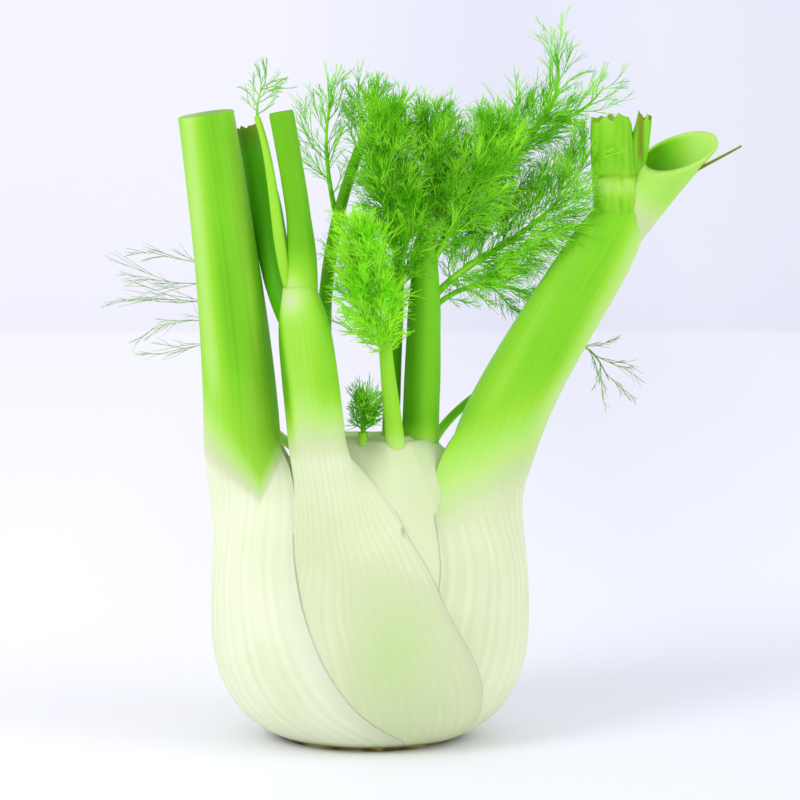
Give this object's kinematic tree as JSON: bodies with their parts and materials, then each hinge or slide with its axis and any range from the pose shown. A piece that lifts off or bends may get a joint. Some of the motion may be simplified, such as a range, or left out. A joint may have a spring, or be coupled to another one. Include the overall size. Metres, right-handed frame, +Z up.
{
  "type": "fennel bulb",
  "caption": "Fennel bulb trimmed for the kitchen: flat-cut root plate, ribbed overlapping leaf bases, cut green stalks and feathery fronds.",
  "frame": {"origin": "centre of the cut face of the root plate, on which the bulb stands", "axes": "+Z up along the bulb, +X to the right, -Y the front as pictured"},
  "size_m": [0.1918, 0.0747, 0.2164],
  "materials": {
    "root_plate": "dry, brownish cut face",
    "leaf": "smooth, waxy, ribbed lengthways",
    "heart": "smooth, pale and moist",
    "frond": "soft, thread-like, dark green",
    "young_frond": "soft, thread-like, bright green",
    "spray": "fine, dull green threads"
  },
  "bodies": {
    "root": {"root_plate": "root_plate", "left_leaf": "leaf", "front_leaf": "leaf", "right_leaf": "leaf", "back_leaf": "leaf", "heart": "heart", "centre_leafy_stem": "frond", "shaded_leafy_stem": "frond", "young_leafy_stem": "young_frond", "rear_leafy_stem": "frond", "left_spray": "spray", "right_low_spray": "spray", "tip_spray": "young_frond", "throat_frond": "frond"}
  },
  "joints": []
}
